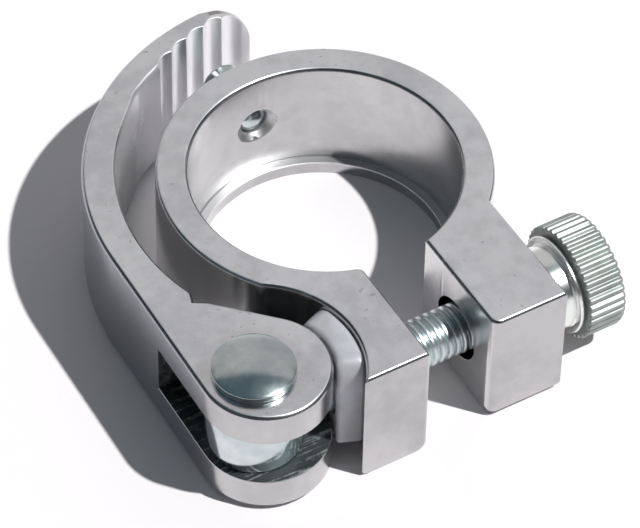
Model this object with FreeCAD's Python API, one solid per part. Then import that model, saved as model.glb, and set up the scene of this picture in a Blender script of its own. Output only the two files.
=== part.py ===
import FreeCAD, Part
import math
import os

# Quick-release seatpost clamp, in millimetres.
# The origin is where the axis of the bore crosses the plane of the clamp bolt.
# +Z is the axis of the bore, towards the mouth that the seat tube enters.
# +X runs along the clamp bolt, from the cam towards the thumb nut.

# Collar: a slit ring with two lugs, and an inward lip that stops it on the seat tube
bore_diameter = 31.8
ring_wall = 3.75
collar_height = 16.4
lip_thickness = 1.7
lip_width = 1.2
slit_width = 8.4
bolt_offset = 22.45
lug_reach = 7.8
nut_lug_thickness = 9.7
cam_lug_thickness = 5.65
bolt_hole_diameter = 7.8
collar_edge_break = 0.3
lug_corner_radius = 1.2
lug_bottom_radius = 1.4
seat_bottom_chamfer = 0.5
slit_corner_radius = 0.9

# Cam washer: a plastic saddle in the hollow of the cam lug
seat_radius = 12.3
seat_clearance = 0.05
washer_thickness = 3.2
washer_hollow_radius = 12.5
washer_length = 10.8
washer_height = 13.2
washer_rise = 1.1
washer_hole_diameter = 6.8
washer_corner_radius = 0.6

# Lever: a cam that is forked for the bolt, and a curved arm that wraps the ring
cam_radius = 7.6
cam_offset = 1.45
cam_gap = 0.12
lever_height = 15.4
fork_slot_height = 6.7
fork_slot_end = 11.1
arm_outer_radius = 30.4
arm_thickness = 4.05
arm_centre_x = 2.4
arm_centre_y = -0.3
arm_tip_x = 6.3
tip_corner_radius = 6.0
tip_thickness = 0.6
taper_start_x = 0.0
heel_y = -8.8
heel_step = 0.85
flank_angle = 45.0
lever_edge_break = 0.35

# Finger grip: the arm is eased on its inner face, then thinned by shallow flutes to the tip
grip_start_angle = 136.0
grip_easing = 0.5
flute_count = 5
flute_pitch_angle = 5.75
flute_depth = 0.45
flute_step = 0.32
first_flute_angle = 113.6

# Pivot pin: a rivet through both cheeks of the fork and the eye of the bolt
pin_diameter = 6.0
pin_clearance = 0.05
pin_head_diameter = 9.6
pin_head_rise = 2.0
pin_head_wall = 0.8
pin_head_edge = 0.2
pin_foot_recess = 0.25

# Clamp bolt: a round eye in the fork, and a shaft with its thread left plain
eye_diameter = 11.2
eye_height = 6.6
thread_diameter = 6.0
thread_clearance = 0.04
bolt_inset = 0.6
bolt_end_chamfer = 0.6

# Thumb nut
nut_gap = 0.05
boss_diameter = 10.2
boss_length = 3.4
ledge_diameter = 12.0
ledge_length = 0.5
neck_diameter = 11.0
neck_length = 0.35
knurl_diameter = 13.9
knurl_length = 4.85
knurl_count = 36
knurl_depth = 0.38
knurl_back_chamfer = 0.2
knurl_front_chamfer = 0.4
nut_mouth_chamfer = 0.6

# Stop pin, pressed through the back of the ring
stop_shank_diameter = 3.5
stop_head_diameter = 5.1
stop_head_length = 5.0
stop_edge_radius = 0.45
stop_recess = 0.45
stop_sink_diameter = 4.9
stop_clearance = 0.02

bore_radius = bore_diameter / 2
ring_radius = bore_radius + ring_wall
half_height = collar_height / 2
half_slit = slit_width / 2
lip_top = -half_height + lip_thickness
bolt_y = -bolt_offset
lug_front = bolt_y - lug_reach
nut_lug_face = half_slit + nut_lug_thickness
seat_bottom = -half_slit - cam_lug_thickness
seat_centre_x = seat_bottom - seat_radius
washer_face = seat_bottom - seat_clearance - washer_thickness
cam_centre_x = washer_face - cam_gap - cam_radius
pin_x = cam_centre_x - cam_offset
stop_z = (half_height + lip_top) / 2

up = FreeCAD.Vector(0, 0, 1)
along_bolt = FreeCAD.Vector(1, 0, 0)
outward = FreeCAD.Vector(0, 1, 0)


def point(x, y, z=0.0):
    return FreeCAD.Vector(x, y, z)


def polar(centre, radius, degrees):
    """A point on a circle in the plane of the clamp bolt."""
    turn = math.radians(degrees)
    return centre + point(radius * math.cos(turn), radius * math.sin(turn))


def angle_of(centre, place):
    return math.degrees(math.atan2(place.y - centre.y, place.x - centre.x))


def line(start, end):
    return Part.LineSegment(start, end).toShape()


def arc(centre, radius, start_degrees, end_degrees):
    middle = (start_degrees + end_degrees) / 2
    ends = [polar(centre, radius, turn) for turn in (start_degrees, middle, end_degrees)]
    return Part.Arc(*ends).toShape()


def prism(edges, bottom, top):
    """A solid with the given outline, which stands along Z from bottom to top."""
    face = Part.Face(Part.Wire(edges))
    face.translate(point(0, 0, bottom))
    return face.extrude(up * (top - bottom))


def turned(profile, base, axis):
    """A solid of revolution from (distance along the axis, radius) pairs."""
    side = up if abs(axis.z) < 0.5 else along_bolt
    corners = [base + axis * distance + side * radius for distance, radius in profile]
    return Part.Face(Part.makePolygon(corners + corners[:1])).revolve(base, axis, 360)


def rounded_corner(distance, radius, corner_radius):
    """Profile points round the outer corner at a shaft's end, in three straight steps."""
    points = []
    for turn in (0, 30, 60, 90):
        along = corner_radius * (1 - math.sin(math.radians(turn)))
        across = corner_radius * (1 - math.cos(math.radians(turn)))
        points.append((distance - along, radius - across))
    return points


def edges_at(solid, height):
    """The edges of a solid that lie in one level plane."""
    def is_level(edge):
        box = edge.BoundBox
        return abs(box.ZMin - height) < 1e-4 and abs(box.ZMax - height) < 1e-4
    return [edge for edge in solid.Edges if is_level(edge)]


def upright_edges_at(solid, x, y):
    """The edges of a solid that stand along Z at one place."""
    def is_here(edge):
        box = edge.BoundBox
        spread = max(box.XLength, box.YLength, abs(box.XMin - x), abs(box.YMin - y))
        return spread < 1e-3 and box.ZLength > 1
    return [edge for edge in solid.Edges if is_here(edge)]


def collar():
    """One slice of an aluminium section, bored from above, which leaves the lip."""
    ring = Part.makeCylinder(ring_radius, collar_height, point(0, 0, -half_height))
    lug_block_end = -bore_radius * 0.7
    nut_lug = Part.makeBox(
        nut_lug_face - half_slit, lug_block_end - lug_front, collar_height,
        point(half_slit, lug_front, -half_height))
    cam_lug = Part.makeBox(
        -seat_centre_x - half_slit, seat_meets_ring_y() - lug_front, collar_height,
        point(seat_centre_x, lug_front, -half_height))
    seat = Part.makeCylinder(
        seat_radius, collar_height, point(seat_centre_x, bolt_y, -half_height))
    body = ring.fuse([nut_lug, cam_lug]).cut(seat)
    bore = Part.makeCylinder(bore_radius, collar_height, point(0, 0, lip_top))
    throat = Part.makeCylinder(
        bore_radius - lip_width, collar_height, point(0, 0, -half_height))
    slit = Part.makeBox(
        slit_width, ring_radius - lug_front, collar_height,
        point(-half_slit, lug_front, -half_height))
    body = body.cut([bore, throat, slit.cut(ring_back())]).removeSplitter()
    bore_corner_y = -math.sqrt(bore_radius ** 2 - half_slit ** 2)
    body = body.makeFillet(
        lug_corner_radius, upright_edges_at(body, half_slit, lug_front))
    body = body.makeFillet(
        slit_corner_radius, upright_edges_at(body, -half_slit, bore_corner_y))
    body = body.makeFillet(lug_bottom_radius, [
        edge for edge in edges_at(body, -half_height)
        if edge.BoundBox.XLength < 1e-4 and edge.BoundBox.YLength > 5])
    body = body.makeChamfer(collar_edge_break, edges_at(body, half_height))
    body = body.makeChamfer(seat_bottom_chamfer, [
        edge for edge in edges_at(body, -half_height)
        if abs(edge.BoundBox.XMax - seat_bottom) < 1e-3])
    bolt_hole = Part.makeCylinder(
        bolt_hole_diameter / 2, nut_lug_face - seat_centre_x,
        point(seat_centre_x, bolt_y, 0), along_bolt)
    return body.cut([bolt_hole, stop_hole()])


def seat_meets_ring_y():
    """How far back the hollow of the cam lug runs before it reaches the ring."""
    distance = math.hypot(seat_centre_x, bolt_y)
    reach = (distance ** 2 + ring_radius ** 2 - seat_radius ** 2) / 2 / distance
    turn = math.atan2(bolt_y, seat_centre_x) + math.acos(min(1, reach / ring_radius))
    return ring_radius * math.sin(turn)


def ring_back():
    """The side of the ring away from the lugs, which the slit does not reach."""
    return Part.makeBox(
        4 * ring_radius, 2 * ring_radius, 2 * collar_height,
        point(-2 * ring_radius, 0, -collar_height))


def stop_hole():
    """The hole for the stop pin, countersunk in the bore."""
    shank = Part.makeCylinder(
        stop_shank_diameter / 2 + stop_clearance, 2 * ring_wall,
        point(0, bore_radius - ring_wall / 2, stop_z), outward)
    sink_depth = (stop_sink_diameter - stop_shank_diameter) / 2
    sink = Part.makeCone(
        stop_sink_diameter / 2 + 1, stop_shank_diameter / 2, sink_depth + 1,
        point(0, bore_radius - 1, stop_z), outward)
    return shank.fuse(sink)


def stop_pin():
    """A round-ended steel pin that the closed lever comes down on."""
    start_y = bore_radius + stop_recess
    shank_length = ring_radius + stop_clearance - start_y
    length = shank_length + stop_head_length
    head_radius = stop_head_diameter / 2
    profile = [
        (0, 0), (0, stop_shank_diameter / 2), (shank_length, stop_shank_diameter / 2),
        (shank_length, head_radius)]
    profile += rounded_corner(length, head_radius, stop_edge_radius)
    profile += [(length, 0)]
    return turned(profile, point(0, start_y, stop_z), outward)


def cam_washer():
    """A saddle that fills the hollow of the lug and gives the cam a smooth track."""
    seat_centre = point(seat_centre_x, bolt_y)
    back_radius = seat_radius - seat_clearance
    hollow_centre = point(washer_face - washer_hollow_radius, bolt_y)
    half_length = washer_length / 2
    back_turn = math.degrees(math.asin(half_length / back_radius))
    hollow_turn = math.degrees(math.asin(half_length / washer_hollow_radius))
    back = arc(seat_centre, back_radius, -back_turn, back_turn)
    hollow = arc(hollow_centre, washer_hollow_radius, hollow_turn, -hollow_turn)
    ends = [
        line(polar(seat_centre, back_radius, turn * back_turn),
             polar(hollow_centre, washer_hollow_radius, turn * hollow_turn))
        for turn in (1, -1)]
    bottom = washer_rise - washer_height / 2
    body = prism([back, ends[0], hollow, ends[1]], bottom, bottom + washer_height)
    corners = [
        edge for edge in body.Edges
        if edge.BoundBox.ZLength > washer_height / 2]
    body = body.makeFillet(washer_corner_radius, corners)
    bolt_hole = Part.makeCylinder(
        washer_hole_diameter / 2, 2 * seat_radius,
        point(seat_centre_x, bolt_y, 0), along_bolt)
    return body.cut(bolt_hole)


def lever_outline():
    """The cam, the straight back, the arm outside and inside, and the flank, in turn."""
    cam = point(cam_centre_x, bolt_y)
    arm = point(arm_centre_x, arm_centre_y)
    inner_radius = arm_outer_radius - arm_thickness
    grip_radius = inner_radius + grip_easing
    across = cam - arm
    spread = math.degrees(math.acos((arm_outer_radius - cam_radius) / across.Length))
    back_turn = angle_of(arm, cam) - spread + 360
    taper_turn = math.degrees(math.acos((taper_start_x - arm_centre_x) / arm_outer_radius))
    tip_end = polar(arm, crest_radius(flute_count) + tip_thickness, tip_turn())
    flank_turn = 90 - flank_angle
    edges = [
        arc(cam, cam_radius, back_turn, flank_turn + 360),
        line(polar(arm, arm_outer_radius, back_turn), polar(cam, cam_radius, back_turn)),
        arc(arm, arm_outer_radius, taper_turn, back_turn),
        line(tip_end, polar(arm, arm_outer_radius, taper_turn))]

    heel_turn = 180 - math.degrees(math.asin((heel_y - arm_centre_y) / inner_radius))
    grip_turn = grip_start_angle - math.degrees(math.acos(inner_radius / grip_radius))
    edges.append(arc(arm, inner_radius, grip_start_angle, heel_turn))
    edges.append(line(polar(arm, inner_radius, grip_start_angle),
                      polar(arm, grip_radius, grip_turn)))
    edges.append(arc(arm, grip_radius, tip_turn(), grip_turn))
    edges.append(line(polar(arm, grip_radius, tip_turn()), tip_end))

    flank_end = polar(cam, cam_radius, flank_turn)
    run_back = point(-math.sin(math.radians(flank_turn)), math.cos(math.radians(flank_turn)))
    heel = polar(arm, inner_radius, heel_turn)
    heel_foot = polar(arm, inner_radius + heel_step, heel_turn + 2.2)
    reach = (heel.y - 2.1 - flank_end.y) / run_back.y
    flank_start = flank_end + run_back * reach
    edges.append(line(heel, heel_foot))
    edges.append(line(heel_foot, flank_start))
    edges.append(line(flank_start, flank_end))
    return Part.__sortEdges__(edges)


def tip_turn():
    """The angle about the centre of the arm at which the arm ends."""
    return math.degrees(math.acos((arm_tip_x - arm_centre_x) / arm_outer_radius))


def crest_radius(flute):
    """How far a crest between two flutes stands from the centre of the arm."""
    return arm_outer_radius - arm_thickness + grip_easing + 0.15 + flute_step * flute


def grip_cut():
    """The metal taken off the inner face of the arm by the flutes, as far as the tip."""
    arm = point(arm_centre_x, arm_centre_y)
    start_radius = arm_outer_radius - arm_thickness - 1
    end_turn = first_flute_angle - flute_pitch_angle * (flute_count + 1)
    crests = [
        polar(arm, crest_radius(flute), first_flute_angle - flute_pitch_angle * flute)
        for flute in range(flute_count + 1)]
    edges = [line(polar(arm, start_radius, first_flute_angle), crests[0])]
    for flute in range(flute_count):
        deepest = polar(
            arm, crest_radius(flute + 0.5) + flute_depth,
            first_flute_angle - flute_pitch_angle * (flute + 0.5))
        edges.append(Part.Arc(crests[flute], deepest, crests[flute + 1]).toShape())
    land_end = polar(arm, crest_radius(flute_count), end_turn)
    edges += [line(crests[-1], land_end), line(land_end, polar(arm, start_radius, end_turn)),
              arc(arm, start_radius, end_turn, first_flute_angle)]
    return prism(edges, -lever_height, lever_height)


def tip_corner(side):
    """The metal taken off the corner of the tip, above (1) or below (-1), to round it."""
    turn = math.radians(tip_turn())
    across = point(math.cos(turn), math.sin(turn))
    forward = point(math.sin(turn), -math.cos(turn))
    base = point(arm_centre_x, arm_centre_y) + across * (arm_outer_radius / 2)
    inner = lever_height / 2 - tip_corner_radius
    half_turn = math.sqrt(0.5) * tip_corner_radius

    def corner(ahead, height):
        return base + forward * ahead + up * (side * height)

    start = corner(-tip_corner_radius, lever_height / 2)
    end = corner(0, inner)
    outside = [corner(2, inner), corner(2, lever_height), corner(-tip_corner_radius, lever_height)]
    places = [end] + outside + [start]
    edges = [Part.Arc(start, corner(half_turn - tip_corner_radius, inner + half_turn), end).toShape()]
    edges += [line(first, second) for first, second in zip(places, places[1:])]
    return Part.Face(Part.Wire(edges)).extrude(across * arm_outer_radius)


def lever():
    """One forged and milled aluminium piece, slotted from the cam end for the bolt."""
    half_lever = lever_height / 2
    body = prism(lever_outline(), -half_lever, half_lever)
    level_edges = edges_at(body, half_lever) + edges_at(body, -half_lever)
    body = body.makeChamfer(lever_edge_break, level_edges)
    body = body.cut([tip_corner(1), tip_corner(-1)])
    body = body.cut(grip_cut())
    slot = Part.makeBox(
        arm_outer_radius, arm_outer_radius, fork_slot_height,
        point(pin_x - arm_outer_radius / 2, -fork_slot_end - arm_outer_radius,
              -fork_slot_height / 2))
    pin_hole = Part.makeCylinder(
        pin_diameter / 2 + pin_clearance, 2 * lever_height,
        point(pin_x, bolt_y, -lever_height))
    return body.cut([slot, pin_hole])


def pivot_pin():
    """A steel rivet with a domed head, which stands on the upper cheek."""
    foot = -lever_height / 2 + pin_foot_recess
    face = lever_height / 2 - foot
    top = face + pin_head_rise
    head = pin_head_diameter / 2
    rim = head - pin_head_edge
    crown = pin_head_rise - pin_head_wall - pin_head_edge
    dome_radius = (rim ** 2 + crown ** 2) / 2 / crown
    profile = [
        (0, 0), (0, pin_diameter / 2), (face, pin_diameter / 2), (face, head),
        (face + pin_head_wall, head)]
    for share in (1, 0.75, 0.5, 0.25, 0):
        drop = dome_radius - math.sqrt(dome_radius ** 2 - (rim * share) ** 2)
        profile.append((top - drop, rim * share))
    return turned(profile, point(pin_x, bolt_y, foot), up)


def bolt():
    """A steel eye bolt: the eye turns on the pivot pin, and the far end is chamfered."""
    radius = thread_diameter / 2 - thread_clearance
    end = nut_lug_face + nut_gap + nut_length() - bolt_inset - bolt_end_chamfer
    length = end - pin_x
    profile = [
        (0, 0), (0, radius), (length - bolt_end_chamfer, radius),
        (length, radius - bolt_end_chamfer), (length, 0)]
    shaft = turned(profile, point(pin_x, bolt_y, 0), along_bolt)
    eye = Part.makeCylinder(eye_diameter / 2, eye_height, point(pin_x, bolt_y, -eye_height / 2))
    pin_hole = Part.makeCylinder(
        pin_diameter / 2 + pin_clearance, 2 * eye_height, point(pin_x, bolt_y, -eye_height))
    return shaft.fuse(eye).cut(pin_hole)


def nut_length():
    return boss_length + ledge_length + neck_length + knurl_length


def thumb_nut():
    """A turned steel nut: a boss that bears on the lug, a ledge and a knurled disc."""
    hole = thread_diameter / 2
    knurl = knurl_diameter / 2
    ledge_end = boss_length + ledge_length
    disc_start = ledge_end + neck_length
    length = nut_length()
    profile = [
        (0, hole + nut_mouth_chamfer), (0, boss_diameter / 2),
        (boss_length, boss_diameter / 2), (boss_length, ledge_diameter / 2),
        (ledge_end, ledge_diameter / 2), (ledge_end + neck_length / 2, neck_diameter / 2),
        (disc_start, neck_diameter / 2),
        (disc_start, knurl - knurl_back_chamfer),
        (disc_start + knurl_back_chamfer, knurl),
        (length - knurl_front_chamfer, knurl), (length, knurl - knurl_front_chamfer),
        (length, hole + nut_mouth_chamfer), (length - nut_mouth_chamfer, hole),
        (nut_mouth_chamfer, hole)]
    start = point(nut_lug_face + nut_gap, bolt_y, 0)
    body = turned(profile, start, along_bolt)
    return body.common(knurled_bar(start, length))


def knurled_bar(start, length):
    """A toothed bar over the nut's whole length, which trims the disc to its knurl."""
    outline = []
    for tooth in range(knurl_count):
        for part, radius in ((0.0, 0.0), (0.5, knurl_depth)):
            turn = 2 * math.pi * (tooth + part) / knurl_count
            reach = knurl_diameter / 2 - radius
            outline.append(start + point(0, reach * math.cos(turn), reach * math.sin(turn)))
    face = Part.Face(Part.makePolygon(outline + outline[:1]))
    return face.extrude(along_bolt * length)


os.makedirs("parts", exist_ok=True)
collar().exportStep("parts/collar.step")
stop_pin().exportStep("parts/stop_pin.step")
cam_washer().exportStep("parts/cam_washer.step")
lever().exportStep("parts/lever.step")
pivot_pin().exportStep("parts/pivot_pin.step")
bolt().exportStep("parts/bolt.step")
thumb_nut().exportStep("parts/thumb_nut.step")
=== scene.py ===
import math

import bmesh
import bpy
from mathutils import Matrix, Vector


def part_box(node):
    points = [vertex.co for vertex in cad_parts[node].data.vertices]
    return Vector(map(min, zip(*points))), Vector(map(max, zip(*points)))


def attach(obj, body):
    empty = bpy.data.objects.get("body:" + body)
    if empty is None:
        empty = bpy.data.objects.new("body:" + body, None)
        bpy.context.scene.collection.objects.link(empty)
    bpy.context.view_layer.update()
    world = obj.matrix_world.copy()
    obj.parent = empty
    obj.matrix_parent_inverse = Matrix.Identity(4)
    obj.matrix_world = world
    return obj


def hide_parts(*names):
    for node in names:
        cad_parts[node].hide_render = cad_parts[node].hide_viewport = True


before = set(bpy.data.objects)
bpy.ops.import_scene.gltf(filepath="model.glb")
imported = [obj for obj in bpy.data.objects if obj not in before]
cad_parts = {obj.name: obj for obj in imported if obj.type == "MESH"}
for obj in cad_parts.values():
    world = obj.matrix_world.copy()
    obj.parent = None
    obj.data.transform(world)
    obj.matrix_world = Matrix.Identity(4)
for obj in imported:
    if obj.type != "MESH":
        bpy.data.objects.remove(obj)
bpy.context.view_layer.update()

# Collar
# The ring that clamps the seat tube, with its two lugs and its inward lip. It is sawn from a
# bar of extruded aluminium, bored and slit, then tumbled until its edges are just softened.

mm = 0.001
collar_edge_round = 0.11 * mm
collar_half_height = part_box("collar")[1].z
bore_radius = 15.9 * mm
ring_radius = 19.65 * mm
ring_back = (14 * mm, 14.5 * mm)
lip_top = -6.5 * mm
slit_half_width = 4.2 * mm
slit_start = -15 * mm
sink_radius, sink_z = 2.75 * mm, 0.85 * mm
level_face_fade = (-0.06 * mm, -0.03 * mm)
grain_depth = 0.006 * mm
faced_light = (0.78, 0.79, 0.81, 1)
faced_dark = (0.64, 0.65, 0.67, 1)
side_light = (0.53, 0.525, 0.53, 1)
side_dark = (0.445, 0.44, 0.445, 1)
bright_metal = (0.88, 0.88, 0.89, 1)
# A bluish dark grey, for painted shade on sides.
painted_shade_metal = (0.34, 0.36, 0.40, 1)
pit_dark = (0.40, 0.40, 0.41, 1)


class Value:
    """A number worked out by a node tree. A sum written with it adds Math nodes."""

    def __init__(self, maker, socket):
        self.maker = maker
        self.socket = socket

    def math(self, operation, *values):
        return self.maker.node("ShaderNodeMath", {"operation": operation}, *values)

    def __add__(self, other):
        return self.math("ADD", self, other)

    def __radd__(self, other):
        return self.math("ADD", other, self)

    def __sub__(self, other):
        return self.math("SUBTRACT", self, other)

    def __rsub__(self, other):
        return self.math("SUBTRACT", other, self)

    def __mul__(self, other):
        return self.math("MULTIPLY", self, other)

    def __rmul__(self, other):
        return self.math("MULTIPLY", other, self)

    def __truediv__(self, other):
        return self.math("DIVIDE", self, other)

    def __abs__(self):
        return self.math("ABSOLUTE", self)

    def __pow__(self, other):
        return self.math("POWER", self, other)

    def fraction(self):
        return self.math("FRACT", self)

    def least(self, other):
        return self.math("MINIMUM", self, other)

    def most(self, other):
        return self.math("MAXIMUM", self, other)

    def rise(self, low, high):
        """0 below low and 1 above high, with a smooth step between them."""
        return self.maker.node(
            "ShaderNodeMapRange", {"interpolation_type": "SMOOTHSTEP"},
            self, low, high, 0.0, 1.0)


class Maker:
    """Adds nodes to one tree."""

    def __init__(self, tree):
        self.tree = tree

    def put(self, socket, value):
        if isinstance(value, Value):
            self.tree.links.new(value.socket, socket)
        else:
            socket.default_value = value

    def node(self, kind, settings=None, *values, output=0, **named):
        made = self.tree.nodes.new(kind)
        for name, setting in (settings or {}).items():
            setattr(made, name, setting)
        for index, value in enumerate(values):
            self.put(made.inputs[index], value)
        for name, value in named.items():
            self.put(made.inputs[name.replace("_", " ")], value)
        return Value(self, made.outputs[output]) if made.outputs else None

    def parts(self, vector):
        """The three coordinates of a place or a direction."""
        first = self.node("ShaderNodeSeparateXYZ", None, vector)
        return [Value(self, socket) for socket in first.socket.node.outputs]

    def blend(self, share, first, second):
        """The first colour where share is 0, and the second where it is 1."""
        mixed = self.node("ShaderNodeMix", {"data_type": "RGBA"}, share, output=2)
        color_sockets = mixed.socket.node.inputs[6:8]
        self.put(color_sockets[0], first)
        self.put(color_sockets[1], second)
        return mixed


class Finish(Maker):
    """A material under construction."""

    def __init__(self, name):
        self.material = bpy.data.materials.new(name)
        self.material.use_nodes = True
        super().__init__(self.material.node_tree)
        self.tree.nodes.clear()
        self.place = self.node("ShaderNodeTexCoord", output="Object")

    def stretched(self, x, y, z):
        """The place on the piece, with each direction scaled in features per metre."""
        return self.node("ShaderNodeVectorMath", {"operation": "MULTIPLY"}, self.place, (x, y, z))

    def noise(self, scale, detail=3.0, roughness=0.5, place=None, distortion=0.0):
        return self.node(
            "ShaderNodeTexNoise", None, Vector=place or self.place, Scale=scale,
            Detail=detail, Roughness=roughness, Distortion=distortion)

    def hairlines(self, scale, width=0.006):
        """1 along thin wandering lines and 0 between them."""
        field = self.noise(scale, 2.0, distortion=0.6)
        return 1 - abs(field - 0.5).rise(0.0, width)

    def close(self, color, roughness, height, depth, **sockets):
        """Joins the parts of the finish in one metal or plastic shader."""
        bump = self.node("ShaderNodeBump", None, Strength=1.0, Distance=depth, Height=height)
        shader = self.node(
            "ShaderNodeBsdfPrincipled", None, Base_Color=color, Roughness=roughness,
            Normal=bump, **sockets)
        self.node("ShaderNodeOutputMaterial", None, shader)
        return self.material


def piece_of(name, shape):
    """An object at the origin with the mesh that was worked out in bmesh."""
    mesh_data = bpy.data.meshes.new(name)
    shape.to_mesh(mesh_data)
    shape.free()
    thing = bpy.data.objects.new(name, mesh_data)
    bpy.context.scene.collection.objects.link(thing)
    return thing


def settled(thing):
    """Makes what the modifiers give into the object's own plain mesh."""
    graph = bpy.context.evaluated_depsgraph_get()
    mesh_data = bpy.data.meshes.new_from_object(thing.evaluated_get(graph))
    thing.modifiers.clear()
    thing.data = mesh_data
    return thing


def softened_copy(node, name, edge_round):
    """A copy of a solid, with flat faces made whole and every sharp edge rounded."""
    same_point, still_flat, sharp_edge = 0.0005 * mm, math.radians(0.3), math.radians(25)
    shape = bmesh.new()
    shape.from_mesh(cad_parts[node].data)
    bmesh.ops.remove_doubles(shape, verts=shape.verts, dist=same_point)
    bmesh.ops.dissolve_limit(
        shape, angle_limit=still_flat, verts=shape.verts, edges=shape.edges)
    thing = piece_of(name, shape)
    thing.data.shade_smooth()
    edge = thing.modifiers.new("edge", "BEVEL")
    edge.width = edge_round
    edge.segments = 2
    edge.limit_method = "ANGLE"
    edge.angle_limit = sharp_edge
    edge.use_clamp_overlap = False
    thing.modifiers.new("normals", "WEIGHTED_NORMAL")
    settled(thing)
    low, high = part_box(node)
    for corner in thing.data.vertices:
        corner.co = [
            min(max(value, least), most) for value, least, most in zip(corner.co, low, high)]
    return thing


def dress(thing, material, slot, body, *nodes):
    """Gives a piece its finish, and sets it on its body in place of its solids."""
    thing.data.materials.clear()
    thing.data.materials.append(material)
    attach(thing, body)
    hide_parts(*nodes)


def level_face(cloud, blotch, grain, scratches):
    """The roughness and the height of a face that is sawn flat and tumbled."""
    roughness = 0.33 + cloud * 0.08 + blotch * 0.08 + grain * 0.05 - scratches * 0.12
    return roughness, grain * 0.6 + blotch * 0.8 - scratches * 0.8


def aluminium_colors(finish, level, bright, painted_shade=0.0):
    """Tumbled level faces are pale with small pits. Sides are grey, brighter, or darker with
    painted shade.
    """
    shade = finish.noise(90, 3.0, 0.6) * 0.6 + finish.noise(520, 4.0, 0.65) * 0.4
    shade = shade.rise(0.38, 0.62)
    pits = finish.noise(1500, 2.0).rise(0.66, 0.72) * finish.noise(200).rise(0.45, 0.6)
    faced = finish.blend(shade, faced_dark, faced_light)
    faced = finish.blend(pits * 0.6, faced, pit_dark)
    side = finish.blend(painted_shade, finish.blend(shade, side_dark, side_light), painted_shade_metal)
    side = finish.blend(bright, side, bright_metal)
    return finish.blend(level, side, faced)


def tumbled_aluminium():
    """Level faces are sawn and tumbled, sides keep the lines of the die, the bore is turned."""
    finish = Finish("tumbled_aluminium")
    x, y, z = finish.parts(finish.place)
    from_axis = (x * x + y * y) ** 0.5
    from_sink = (x * x + (z - sink_z) ** 2.0) ** 0.5
    level = (abs(z) - collar_half_height).rise(*level_face_fade)
    in_bore = 1 - from_axis.rise(bore_radius, bore_radius + 0.15 * mm)
    in_bore = in_bore * z.rise(lip_top - 0.3 * mm, lip_top)
    on_ledge = in_bore * (1 - from_axis.rise(bore_radius - 0.2 * mm, bore_radius - 0.1 * mm))
    low_bore = in_bore * (1 - z.rise(lip_top, lip_top + 4.0 * mm))
    side = (1 - in_bore) * (1 - level)
    on_ring = side * (1 - abs(from_axis - ring_radius).rise(0.1 * mm, 0.3 * mm))
    in_slit = side * (1 - abs(x).rise(slit_half_width, slit_half_width + 0.4 * mm))
    in_slit = in_slit * (1 - y.rise(slit_start - 0.5 * mm, slit_start))
    in_sink = y.rise(*ring_back) * from_axis.rise(bore_radius, bore_radius + 0.05 * mm)
    in_sink = in_sink * (1 - from_sink.rise(sink_radius - 0.1 * mm, sink_radius))
    cloud = finish.noise(120, 3.0, 0.6)
    blotch = finish.noise(520, 4.0, 0.65)
    grain = finish.noise(2600, 3.0, 0.7)
    drawn = finish.noise(1, 3.0, 0.6, finish.stretched(1300, 1300, 25))
    bands = finish.noise(1, 2.0, 0.5, finish.stretched(420, 420, 12))
    turning = finish.noise(1, 2.0, 0.6, finish.stretched(60, 60, 9000))
    scratches = finish.hairlines(420) * finish.noise(160).rise(0.52, 0.62)
    tumbled, tumbled_height = level_face(cloud, blotch, grain, scratches)
    extruded = 0.14 + cloud * 0.05 + drawn * 0.10
    extruded_height = drawn * 0.4 + blotch * 0.25 + grain * 0.1
    extruded_height = extruded_height + bands * (on_ring * 8.0 + in_slit * 7.0)
    bored = 0.20 + turning * 0.05 + cloud * 0.05 + low_bore * 0.08 + on_ledge * 0.15
    bored_height = turning * 0.15 + blotch * 0.25
    roughness = tumbled * level + extruded * side + bored * in_bore + in_sink * 0.25
    height = tumbled_height * level + extruded_height * side + bored_height * in_bore
    bright = (on_ring * 0.55).most(in_slit * 0.4).most(in_bore * 0.08).most(on_ledge * 0.8)
    color = aluminium_colors(finish, level, bright.most(in_sink * 0.2))
    return finish.close(color, roughness, height, grain_depth, Metallic=1.0)


collar = softened_copy("collar", "collar_ring", collar_edge_round)
dress(collar, tumbled_aluminium(), "aluminium", "collar", "collar")

# Stop pin
# A short steel pin pressed through the back of the ring. Its round outer end is where the tip
# of the closed lever comes to rest, and its inner end lies in a countersink in the bore.

stop_low, stop_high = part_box("stop_pin")
stop_middle = (stop_low + stop_high) / 2
stop_length = stop_high.y - stop_low.y
stop_shank_radius = 1.75 * mm
stop_head_radius = 2.55 * mm
stop_head_start, stop_head_round = 3.32 * mm, 0.45 * mm
stop_dome, stop_dome_tilt = 2.6 * mm, math.radians(39)
stop_chamfer = 0.12 * mm
broken_edge = 0.1 * mm
crease = math.radians(38)
zinc_light = (0.64, 0.695, 0.685, 1)
zinc_dark = (0.46, 0.525, 0.535, 1)
# Pale zinc, for a painted sheen on polished places.
painted_sheen_zinc = (0.86, 0.88, 0.86, 1)


def lathe(name, profile, base, axis, columns):
    """A closed round piece from (distance along the axis, radius) pairs."""
    along = Vector(axis)
    side = Vector((0, 0, 1)) if abs(along.z) < 0.5 else Vector((1, 0, 0))
    other = along.cross(side)
    shape = bmesh.new()
    rings = []
    for distance, radius in profile:
        centre = Vector(base) + along * distance
        if radius == 0:
            rings.append([shape.verts.new(centre)])
            continue
        ring = []
        for column in range(columns):
            turn = 2 * math.pi * column / columns
            ring.append(shape.verts.new(
                centre + (side * math.cos(turn) + other * math.sin(turn)) * radius))
        rings.append(ring)
    pairs = list(zip(rings, rings[1:]))
    if len(rings[0]) > 1:
        pairs.append((rings[-1], rings[0]))
    for near, far in pairs:
        for column in range(columns):
            after = (column + 1) % columns
            corners = [
                near[column % len(near)], near[after % len(near)],
                far[after % len(far)], far[column % len(far)]]
            shape.faces.new(list(dict.fromkeys(corners)))
    bmesh.ops.recalc_face_normals(shape, faces=shape.faces)
    thing = piece_of(name, shape)
    thing.data.shade_smooth()
    thing.data.set_sharp_from_angle(angle=crease)
    return thing


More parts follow.
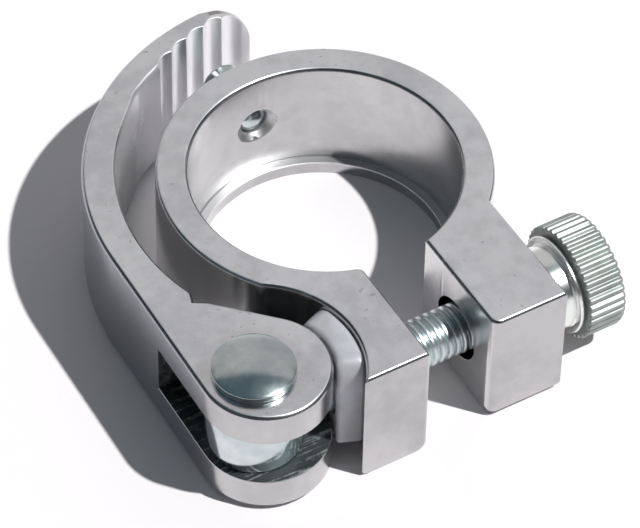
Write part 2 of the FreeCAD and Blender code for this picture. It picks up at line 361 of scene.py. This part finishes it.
def rounding(distance, radius, corner, steps=8, toward=1):
    """Profile points round an outer corner, which ends at this distance and radius."""
    points = []
    for step in range(steps + 1):
        turn = math.pi / 2 * step / steps
        points.append((
            distance - toward * corner * (1 - math.sin(turn)),
            radius - corner * (1 - math.cos(turn))))
    return points[::toward]


def dome(distance, radius, rim_tilt, steps, toward=1):
    """Profile points over a domed end, whose crown is at this distance."""
    points = []
    for step in range(steps + 1):
        tilt = rim_tilt * (1 - step / steps)
        points.append((
            distance - toward * radius * (1 - math.cos(tilt)), radius * math.sin(tilt)))
    return points[::toward]


def zinc_plate(finish, dullness, light=zinc_light, dark=zinc_dark, pitting=1.0, polish_and_painted_sheen=0.0):
    """Bright zinc on steel: grey-green, with paler and darker clouds and fine pits, and a painted
    sheen where polished.
    """
    cloud = finish.noise(260, 4.0, 0.6)
    patch = finish.noise(900, 3.0, 0.6)
    grain = finish.noise(4200, 3.0, 0.7)
    scratches = finish.hairlines(700) * finish.noise(300).rise(0.5, 0.62)
    color = finish.blend(cloud.rise(0.3, 0.7), dark, light)
    color = finish.blend(polish_and_painted_sheen, color, painted_sheen_zinc)
    roughness = dullness - polish_and_painted_sheen * dullness * 0.55 + (patch - 0.5) * 0.08 + (grain - 0.5) * 0.04
    height = patch * 0.35 + grain * 0.3 - scratches * 0.4
    return finish.close(color, roughness, height, 0.004 * mm * pitting, Metallic=1.0)


stop_profile = dome(0, stop_dome, stop_dome_tilt, 10, -1)
stop_profile += [
    (stop_profile[-1][0] + stop_chamfer, stop_shank_radius),
    (stop_head_start, stop_shank_radius),
    (stop_head_start, stop_head_radius - broken_edge),
    (stop_head_start + broken_edge, stop_head_radius)]
stop_profile += rounding(stop_length, stop_head_radius, stop_head_round) + [(stop_length, 0)]
stop_pin = lathe(
    "stop_pin_round", stop_profile, (0, stop_low.y, stop_middle.z), (0, 1, 0), 64)
polished_zinc = zinc_plate(Finish("polished_zinc"), 0.19)
dress(stop_pin, polished_zinc, "plated_steel", "collar", "stop_pin")

# Cam washer
# A moulded nylon saddle, milky and a little translucent. It fills the hollow of the cam lug
# and lets the cam slide. Only the bolt holds it in place.

washer_low, washer_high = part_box("cam_washer")
bolt_low, bolt_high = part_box("bolt")
bolt_middle = (bolt_low + bolt_high) / 2
washer_bend_middle = (-23.875 * mm, bolt_middle.y)
washer_bend_radius = 12.375 * mm
washer_half_thickness = 1.58 * mm
washer_half_length = 4.9 * mm
washer_corner = 0.55 * mm
washer_edge_round = 0.7 * mm
washer_end_round = 2.2 * mm
washer_foot_round = 0.25 * mm
washer_hole, drill_length = 3.4 * mm, 12 * mm
nylon_light = (0.53, 0.54, 0.59, 1)
nylon_dark = (0.40, 0.40, 0.415, 1)


def milky_nylon():
    """Cloudy moulded nylon, with fine lines where it rubs on the cam."""
    finish = Finish("milky_nylon")
    cloud = finish.noise(220, 3.0, 0.55)
    grain = finish.noise(2600, 3.0, 0.7)
    streaked = finish.noise(1, 3.0, 0.6, finish.stretched(400, 400, 2600))
    color = finish.blend(cloud.rise(0.3, 0.7), nylon_dark, nylon_light)
    roughness = 0.24 + grain * 0.14 + streaked * 0.08
    return finish.close(
        color, roughness, grain * 1.2 + streaked * 0.5, grain_depth,
        Subsurface_Weight=0.7, Subsurface_Radius=(1.0, 0.93, 0.80), Subsurface_Scale=1.6 * mm,
        IOR=1.53)


def washer_loop(inset, shorter, height, bend_steps=24, corner_steps=5):
    """The washer's outline at one height: a rounded rectangle laid along its bend."""
    half, length = washer_half_thickness - inset, washer_half_length - shorter
    corner = min(washer_corner, half * 0.7)
    flat = []
    for end, face in ((1, 1), (1, -1), (-1, -1), (-1, 1)):
        quarter = [
            (end * along, face * outward)
            for along, outward in rounding(length, half, corner, corner_steps)]
        flat += quarter if end == face else quarter[::-1]
        if end != face:
            flat += [(end * (length - corner) * (1 - 2 * step / bend_steps), face * half)
                     for step in range(1, bend_steps)]
    bend_x, bend_y = washer_bend_middle
    return [
        (bend_x + (washer_bend_radius + outward) * math.cos(along / washer_bend_radius),
         bend_y + (washer_bend_radius + outward) * math.sin(along / washer_bend_radius),
         height) for along, outward in flat]


def bent_slab(name, bottom, top, foot_steps=3, top_steps=12):
    """A slab that follows the washer's bend, with rounded edges and sloping upper corners."""
    levels = [
        (-outward, -outward, height)
        for height, outward in rounding(bottom, 0, washer_foot_round, foot_steps, -1)]
    for height, outward in rounding(top, 0, washer_end_round, top_steps):
        steep = max(1 - (top - height) / washer_edge_round, 0)
        inset = washer_edge_round * (1 - math.sqrt(1 - steep ** 2))
        levels.append((inset, -outward, height))
    shape = bmesh.new()
    loops = [[shape.verts.new(corner) for corner in washer_loop(*level)] for level in levels]
    for lower, upper in zip(loops, loops[1:]):
        for index in range(len(lower)):
            after = (index + 1) % len(lower)
            shape.faces.new((lower[index], lower[after], upper[after], upper[index]))
    shape.faces.new(list(reversed(loops[0])))
    shape.faces.new(loops[-1])
    bmesh.ops.recalc_face_normals(shape, faces=shape.faces)
    return piece_of(name, shape)


washer = bent_slab("cam_washer_saddle", washer_low.z, washer_high.z)
drill = lathe(
    "drill", [(0, 0), (0, washer_hole), (drill_length, washer_hole), (drill_length, 0)],
    (washer_low.x - 3 * mm, bolt_middle.y, 0), (1, 0, 0), 48)
hole = washer.modifiers.new("hole", "BOOLEAN")
hole.operation = "DIFFERENCE"
hole.solver = "EXACT"
hole.object = drill
settled(washer)
bpy.data.objects.remove(drill)
washer.data.shade_smooth()
washer.data.set_sharp_from_angle(angle=crease)
dress(washer, milky_nylon(), "nylon", "collar", "cam_washer")

# Lever
# Forged aluminium, milled all round: a cam forked for the bolt, a straight back and a curved
# arm, fluted inside near its tip for the finger. It swings on the pivot pin round the ring.

pin_low, pin_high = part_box("pivot_pin")
pin_middle = (pin_low + pin_high) / 2
lever_edge_round = 0.13 * mm
lever_half_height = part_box("lever")[1].z
fork_half_slot, slot_end = 3.35 * mm, -11.1 * mm
arm_middle = (2.4 * mm, -0.3 * mm)
arm_inside, arm_outside = 26.35 * mm, 30.4 * mm
grip_outside, grip_start = 29.0 * mm, (16 * mm, 19 * mm)
# Across this span of x the grip is painted lighter, as painted light.
grip_painted_light = (-14 * mm, -4 * mm)
arm_start = (-24 * mm, -18 * mm)
upper_arm = (-1.0 * mm, 4.5 * mm)
lever_tip = (20 * mm, 24 * mm)
cam_front = (-26 * mm, -23 * mm)
spot_face_edge = (5.2 * mm, 6.7 * mm)
# A small dented patch inside the arm, where a streaky glint is painted into the colour.
painted_glint_middle = (-13.0 * mm, 21.1 * mm, 2.6 * mm)
painted_glint_edge = (1.6 * mm, 4.0 * mm)
cut_light = (0.60, 0.65, 0.63, 1)
# Near black, for the painted shade in the fork's slot.
slot_painted_shade = (0.085, 0.095, 0.10, 1)


def milled_aluminium():
    """Sides keep upright lines; the slot keeps the coarse marks of its cutter on painted shade.
    """
    finish = Finish("milled_aluminium")
    x, y, z = finish.parts(finish.place)
    from_arm = ((x - arm_middle[0]) ** 2.0 + (y - arm_middle[1]) ** 2.0) ** 0.5
    from_pin = ((x - pin_middle.x) ** 2.0 + (y - pin_middle.y) ** 2.0) ** 0.5
    from_painted_glint = finish.node(
        "ShaderNodeVectorMath", {"operation": "DISTANCE"}, finish.place, painted_glint_middle,
        output="Value")
    level = (abs(z) - lever_half_height).rise(*level_face_fade)
    in_slot = 1 - abs(z).rise(fork_half_slot, fork_half_slot + 0.06 * mm)
    in_slot = in_slot * (1 - y.rise(slot_end + 0.05 * mm, slot_end + 0.1 * mm))
    grip = y.rise(*grip_start) * (1 - from_arm.rise(grip_outside, grip_outside + 0.2 * mm))
    inside = (1 - from_arm.rise(arm_inside, arm_inside + 0.2 * mm)).most(grip)
    # Painted shade: the outer wall of the arm is darkened toward a bluish grey.
    painted_shade_outside = from_arm.rise(arm_outside - 0.5 * mm, arm_outside - 0.1 * mm) * y.rise(*arm_start)
    spot_faced = (1 - from_pin.rise(*spot_face_edge)) * z.rise(7 * mm, 7.6 * mm)
    dented_painted_glint = 1 - from_painted_glint.rise(*painted_glint_edge)
    upper = z.rise(*upper_arm).most(y.rise(*lever_tip))
    cloud = finish.noise(110, 3.0, 0.6)
    blotch = finish.noise(520, 4.0, 0.65)
    grain = finish.noise(2600, 3.0, 0.7)
    upright = finish.noise(1, 3.0, 0.6, finish.stretched(1300, 1300, 25))
    cutter = finish.noise(1, 3.0, 0.6, finish.stretched(110, 1700, 1))
    dents = finish.noise(900, 4.0, 0.75)
    scratches = finish.hairlines(380) * finish.noise(150).rise(0.52, 0.62)
    # Painted glint: streaky painted light in the dented patch.
    streaked = dented_painted_glint * (dents * 0.5 + upright * 0.5).rise(0.46, 0.58)
    faced, faced_height = level_face(cloud, blotch, grain, scratches)
    milled = 0.15 + cloud * 0.08 + upright * 0.10 + inside * 0.12 + in_slot * 0.34
    milled_height = upright * 0.5 + blotch * 0.5 + grain * 0.1
    roughness = (faced - spot_faced * 0.24) * level + milled * (1 - level)
    height = faced_height * level + milled_height * (1 - level)
    height = height + (cutter * 9.0 + dents * 3.0) * in_slot + dents * dented_painted_glint * 8.0
    # Painted light: the inside of the arm is lightened, most on its upper part and tip, with a
    # painted glint and painted light on the grip. The cam's front is made a little paler.
    bright = (inside * (0.05 + upper * 0.72)).most(streaked).most(grip * x.rise(*grip_painted_light))
    bright = bright.most((1 - y.rise(*cam_front)) * 0.14)
    color = aluminium_colors(finish, level, bright, painted_shade_outside * 0.75)
    # Painted shade: the slot's faces are near black, with paler streaks of the cutter.
    cut = finish.blend((cutter * 0.65 + dents * 0.35).rise(0.50, 0.70), slot_painted_shade, cut_light)
    color = finish.blend(in_slot, color, cut)
    return finish.close(color, roughness, height, grain_depth, Metallic=1.0)


lever = softened_copy("lever", "lever_arm", lever_edge_round)
dress(lever, milled_aluminium(), "aluminium", "lever", "lever")

# Pivot pin
# A zinc-plated steel rivet through both cheeks of the fork and the eye of the bolt. Its domed
# head stands on the upper cheek, and its foot lies just inside the lower one.

pin_length = pin_high.z - pin_low.z
pin_shank_radius, pin_foot_round = 3.0 * mm, 0.2 * mm
pin_head_radius = (pin_high.x - pin_low.x) / 2
pin_head_rise = 2.0 * mm
pin_dome = 11.0 * mm
pin_rim = 0.13 * mm
rim_steps = 6
head_start = pin_length - pin_head_rise
rim_radius = pin_head_radius - pin_rim
rim_from_centre = math.sqrt((pin_dome - pin_rim) ** 2 - rim_radius ** 2)
rim_height = pin_length - pin_dome + rim_from_centre
rim_tilt = math.asin(rim_radius / (pin_dome - pin_rim))
pin_profile = [(0, 0)] + rounding(0, pin_shank_radius, pin_foot_round, 4, -1)
pin_profile += [
    (head_start, pin_shank_radius), (head_start, pin_head_radius - broken_edge),
    (head_start + broken_edge, pin_head_radius)]
for step in range(rim_steps):
    turn = (math.pi / 2 - rim_tilt) * step / rim_steps
    pin_profile.append((
        rim_height + pin_rim * math.sin(turn), rim_radius + pin_rim * math.cos(turn)))
pin_profile += dome(pin_length, pin_dome, rim_tilt, 14)
pivot_pin = lathe(
    "pivot_pin_rivet", pin_profile, (pin_middle.x, pin_middle.y, pin_low.z), (0, 0, 1), 128)
dress(pivot_pin, polished_zinc, "plated_steel", "bolt", "pivot_pin")

# Bolt
# A zinc-plated steel eye bolt. Its round eye turns on the rivet in the slot of the fork, and its
# 6 mm shaft has a rolled thread, which carries the thumb nut.

eye_height = bolt_high.z - bolt_low.z
eye_radius = pin_middle.x - bolt_low.x
eye_hole, eye_round = 3.05 * mm, 0.3 * mm
bolt_radius = 2.96 * mm
bolt_chamfer = 0.6 * mm
shaft_start = pin_middle.x + 3.3 * mm
shaft_length = bolt_high.x - shaft_start
thread_start = -11.0 * mm
thread_length = bolt_high.x - bolt_chamfer - thread_start
thread_pitch, thread_depth = 1.0 * mm, 0.45 * mm
thread_runout = 0.6 * mm
rings_per_turn = 14
neck_of_eye = (-16 * mm, -14 * mm)
rolled_light = (0.69, 0.75, 0.75, 1)
rolled_dark = (0.52, 0.59, 0.61, 1)


def pressed_tree(name, cut, *sizes):
    """A Geometry Nodes tree that presses a pattern into a round bar along X.

    cut gives the depth from place to place, from 0 to 1. The sizes are more named inputs.
    """
    tree = bpy.data.node_groups.new(name, "GeometryNodeTree")
    tree.interface.new_socket("Geometry", in_out="INPUT", socket_type="NodeSocketGeometry")
    tree.interface.new_socket("Material", in_out="INPUT", socket_type="NodeSocketMaterial")
    for size in ("Depth", "Radius", "Axis Y") + sizes:
        tree.interface.new_socket(size, in_out="INPUT", socket_type="NodeSocketFloat")
    tree.interface.new_socket("Geometry", in_out="OUTPUT", socket_type="NodeSocketGeometry")
    maker = Maker(tree)
    entry = maker.node("NodeGroupInput").socket.node
    inputs = {socket.name: Value(maker, socket) for socket in entry.outputs if socket.name}
    x, y, z = maker.parts(maker.node("GeometryNodeInputPosition"))
    across = y - inputs["Axis Y"]
    turn = z.math("ARCTAN2", z, across) / (2 * math.pi)
    from_axis = (across * across + z * z) ** 0.5
    scale = 1 - cut(inputs, x, turn, from_axis) * inputs["Depth"] / inputs["Radius"]
    moved = maker.node(
        "ShaderNodeCombineXYZ", None, x, across * scale + inputs["Axis Y"], z * scale)
    bar = maker.node("GeometryNodeSetPosition", None, inputs["Geometry"], Position=moved)
    real = maker.node("GeometryNodeRealizeInstances", None, bar)
    coated = maker.node("GeometryNodeSetMaterial", None, real, Material=inputs["Material"])
    maker.node("NodeGroupOutput", None, coated)
    return tree


def pressed(thing, tree, **sizes):
    """Runs a tree on a piece, and keeps the result as its plain mesh."""
    modifier = thing.modifiers.new(tree.name, "NODES")
    modifier.node_group = tree
    for item in tree.interface.items_tree:
        name = item.name.replace(" ", "_")
        if item.in_out == "INPUT" and name in sizes:
            modifier[item.identifier] = sizes[name]
    return settled(thing)


def rolled_thread(inputs, x, turn, from_axis):
    """A right-handed thread, 0 on its crest and 1 at its root, that runs out at its ends."""
    phase = (x / inputs["Pitch"] - turn).fraction()
    flank = (abs(phase - 0.5) * 2).rise(0.35, 0.97)
    to_end = (x - inputs["Start"]).least(inputs["End"] - x)
    on_side = from_axis.rise(0.93 * bolt_radius, 0.97 * bolt_radius)
    return flank * on_side * to_end.rise(0.0, thread_runout).most(0.4)


def joined(name, *things):
    """One mesh from several, which are then removed."""
    shape = bmesh.new()
    for thing in things:
        shape.from_mesh(thing.data)
        bpy.data.objects.remove(thing)
    return piece_of(name, shape)


rolled_finish = Finish("rolled_zinc")
along_bolt = rolled_finish.parts(rolled_finish.place)[0]
rolled_zinc = zinc_plate(
    rolled_finish, 0.13 + along_bolt.rise(*neck_of_eye) * 0.22, rolled_light, rolled_dark)
thread_rings = int(thread_length / thread_pitch * rings_per_turn)
shaft_profile = [(0, 0), (0, bolt_radius)]
shaft_profile += [
    (thread_start - shaft_start + thread_length * ring / thread_rings, bolt_radius)
    for ring in range(thread_rings + 1)]
shaft_profile += [(shaft_length, bolt_radius - bolt_chamfer), (shaft_length, 0)]
shaft = lathe(
    "bolt_shaft", shaft_profile, (shaft_start, bolt_middle.y, 0), (1, 0, 0), 56)
pressed(
    shaft, pressed_tree("rolled_thread", rolled_thread, "Pitch", "Start", "End"),
    Pitch=thread_pitch, Depth=thread_depth, Start=thread_start, End=bolt_high.x,
    Axis_Y=bolt_middle.y, Radius=bolt_radius, Material=rolled_zinc)
eye_profile = [(broken_edge, eye_hole), (0, eye_hole + broken_edge)]
eye_profile += rounding(0, eye_radius, eye_round, 5, -1)
eye_profile += rounding(eye_height, eye_radius, eye_round, 5)
eye_profile += [(eye_height, eye_hole + broken_edge), (eye_height - broken_edge, eye_hole)]
eye = lathe(
    "bolt_eye", eye_profile, (pin_middle.x, pin_middle.y, bolt_low.z), (0, 0, 1), 128)
bolt = joined("eye_bolt_threaded", shaft, eye)
dress(bolt, rolled_zinc, "plated_steel", "bolt", "bolt")

# Thumb nut
# Turned from steel bar and zinc plated: a plain boss that bears on the lug, a narrow ledge and
# a disc with a straight knurl for the fingers.

nut_low, nut_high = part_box("thumb_nut")
nut_length = nut_high.x - nut_low.x
nut_hole, nut_mouth = 3.0 * mm, 0.6 * mm
boss_length, boss_radius, boss_fillet = 3.4 * mm, 5.1 * mm, 0.12 * mm
ledge_end, ledge_radius = 3.9 * mm, 6.0 * mm
disc_start, neck_radius = 4.25 * mm, 5.5 * mm
disc_bevel = 0.03 * mm
knurl_radius = (nut_high.z - nut_low.z) / 2
knurl_teeth, columns_per_tooth = 40, 10
knurl_depth = 0.42 * mm
knurl_width = 0.9 * mm
knurl_light = (0.44, 0.47, 0.45, 1)
knurl_dark = (0.33, 0.36, 0.345, 1)


def straight_knurl(inputs, x, turn, from_axis):
    """Straight teeth in the rim of a disc, 0 on their crests and 1 between them."""
    phase = (turn * inputs["Teeth"]).fraction()
    groove = (abs(phase - 0.5) * 2).rise(0.25, 1.0)
    on_rim = from_axis.rise(inputs["Radius"] - knurl_width, inputs["Radius"] - 0.25 * mm)
    on_disc = x.rise(inputs["Start"] - 0.01 * mm, inputs["Start"])
    return groove * on_rim * on_disc


nut_profile = [(nut_mouth, nut_hole), (0.05 * mm, nut_hole + nut_mouth - 0.05 * mm)]
nut_profile += rounding(0, boss_radius, 0.25 * mm, 4, -1)
nut_profile += [
    (boss_length - boss_fillet, boss_radius), (boss_length, boss_radius + boss_fillet)]
nut_profile += rounding(boss_length, ledge_radius, 0.15 * mm, 3, -1)
nut_profile += rounding(ledge_end, ledge_radius, 0.12 * mm, 3)
nut_profile += [
    (ledge_end + broken_edge, neck_radius), (disc_start - 0.05 * mm, neck_radius),
    (disc_start, neck_radius + broken_edge), (disc_start, knurl_radius - knurl_width),
    (disc_start + disc_bevel, knurl_radius - knurl_width / 2)]
nut_profile += rounding(disc_start + disc_bevel, knurl_radius, 0.15 * mm, 3, -1)
nut_profile += [
    (disc_start + 0.4 * mm, knurl_radius), (nut_length - 1.0 * mm, knurl_radius)]
nut_profile += rounding(nut_length, knurl_radius, 0.5 * mm, 6)
nut_profile += [
    (nut_length, knurl_radius - knurl_width), (nut_length, nut_hole + nut_mouth),
    (nut_length - nut_mouth, nut_hole)]
nut = lathe(
    "thumb_nut_knurled", nut_profile, (nut_low.x, bolt_middle.y, 0), (1, 0, 0),
    knurl_teeth * columns_per_tooth)
knurl_finish = Finish("zinc_plated_knurl")
boss_end = nut_low.x + ledge_end
on_boss = 1 - knurl_finish.parts(knurl_finish.place)[0].rise(boss_end, boss_end + broken_edge)
# The polished boss is smoother, and painted paler as a painted sheen.
knurled_zinc = zinc_plate(knurl_finish, 0.54, knurl_light, knurl_dark, 3.0, on_boss)
pressed(
    nut, pressed_tree("straight_knurl", straight_knurl, "Teeth", "Start"),
    Teeth=float(knurl_teeth), Depth=knurl_depth, Start=nut_low.x + disc_start,
    Axis_Y=bolt_middle.y, Radius=knurl_radius, Material=knurled_zinc)
dress(nut, knurled_zinc, "plated_steel", "nut", "thumb_nut")

# Floor and light
# A plain pale floor under one softened lamp from the front right, and a sky that is pale round
# the horizon, brightest behind the object and blue overhead.

floor_half_size = 3.0
floor_z = -collar_half_height - 0.01 * mm
floor_light = (0.92, 0.885, 0.90, 1)
floor_dark = (0.90, 0.865, 0.88, 1)
lamp_azimuth, lamp_elevation = 41, 58
far_azimuth = 149
viewer_azimuth, viewer_elevation = -31, 48
horizon_pale = (0.90, 0.90, 0.91, 1)
sky_dim = (0.050, 0.060, 0.070, 1)
sky_bright = (0.56, 0.54, 0.545, 1)
sky_overhead = (0.105, 0.148, 0.178, 1)
sky_behind_viewer = (0.04, 0.042, 0.045, 1)


def toward(azimuth, elevation):
    """The direction from the object to a place at this azimuth, from -Y to +X, and height."""
    turn, lift = math.radians(azimuth), math.radians(elevation)
    return Vector((
        math.sin(turn) * math.cos(lift), -math.cos(turn) * math.cos(lift), math.sin(lift)))


floor_shape = bmesh.new()
floor_shape.faces.new([
    floor_shape.verts.new((side * floor_half_size, depth * floor_half_size, floor_z))
    for side, depth in ((-1, -1), (1, -1), (1, 1), (-1, 1))])
floor = piece_of("floor", floor_shape)
pale = Finish("pale_floor")
floor_color = pale.blend(pale.noise(900, 2.0), floor_dark, floor_light)
floor_shader = pale.node(
    "ShaderNodeBsdfPrincipled", None, Base_Color=floor_color, Roughness=0.9,
    Specular_IOR_Level=0.0)
pale.node("ShaderNodeOutputMaterial", None, floor_shader)
floor.data.materials.append(pale.material)

lamp_data = bpy.data.lights.new("lamp", "SUN")
lamp_data.energy = 3.5
lamp_data.angle = math.radians(1.5)
lamp = bpy.data.objects.new("lamp", lamp_data)
lamp_direction = toward(lamp_azimuth, lamp_elevation)
lamp.rotation_euler = lamp_direction.to_track_quat("Z", "Y").to_euler()
bpy.context.scene.collection.objects.link(lamp)

sky = bpy.data.worlds.new("sky")
sky.use_nodes = True
sky.node_tree.nodes.clear()
bpy.context.scene.world = sky
heaven = Maker(sky.node_tree)
direction = heaven.node("ShaderNodeTexCoord", output="Generated")
sky_x, sky_y, sky_z = heaven.parts(direction)
sky_level = ((sky_x * sky_x + sky_y * sky_y) ** 0.5).most(0.001)
far_side = toward(far_azimuth, 0)
to_far_side = sky_x * far_side.x + sky_y * far_side.y
behind_object = (to_far_side / sky_level).rise(0.45, 0.85).most(sky_z.rise(0.5, 0.68))
to_viewer = heaven.node(
    "ShaderNodeVectorMath", {"operation": "DOT_PRODUCT"}, direction,
    toward(viewer_azimuth, viewer_elevation), output="Value")
sky_color = heaven.blend(sky_z.rise(0.6, 0.85), sky_dim, sky_overhead)
sky_color = heaven.blend(behind_object * to_far_side.rise(0.33, 0.38), sky_color, sky_bright)
sky_color = heaven.blend(to_viewer.rise(0.90, 0.96), sky_color, sky_behind_viewer)
sky_color = heaven.blend(sky_z.rise(0.07, 0.13), horizon_pale, sky_color)
background = heaven.node("ShaderNodeBackground", None, sky_color, 1.0)
heaven.node("ShaderNodeOutputWorld", None, background)

# Camera
# It stands where the photograph was taken from, to the left of the lugs and looking down. A
# long lens takes in the whole clamp from just under half a metre.

camera_azimuth, camera_elevation, camera_roll = -31.18, 47.89, math.radians(1.17)
camera_distance = 460.5 * mm
camera_target = Vector((-8.1 * mm, -12.68 * mm, collar_half_height))
camera_data = bpy.data.cameras.new("camera")
camera_data.sensor_width = 36.0
camera_data.lens = 229.6
camera_data.clip_start, camera_data.clip_end = 0.02, 20
camera = bpy.data.objects.new("camera", camera_data)
back = toward(camera_azimuth, camera_elevation)
camera.location = camera_target + back * camera_distance
sideways = toward(camera_azimuth + 90, 0)
right = sideways * math.cos(camera_roll) + back.cross(sideways) * math.sin(camera_roll)
camera.rotation_euler = Matrix((right, back.cross(right), back)).transposed().to_euler()
bpy.context.scene.collection.objects.link(camera)
bpy.context.scene.camera = camera
bpy.context.scene.view_settings.view_transform = "Standard"
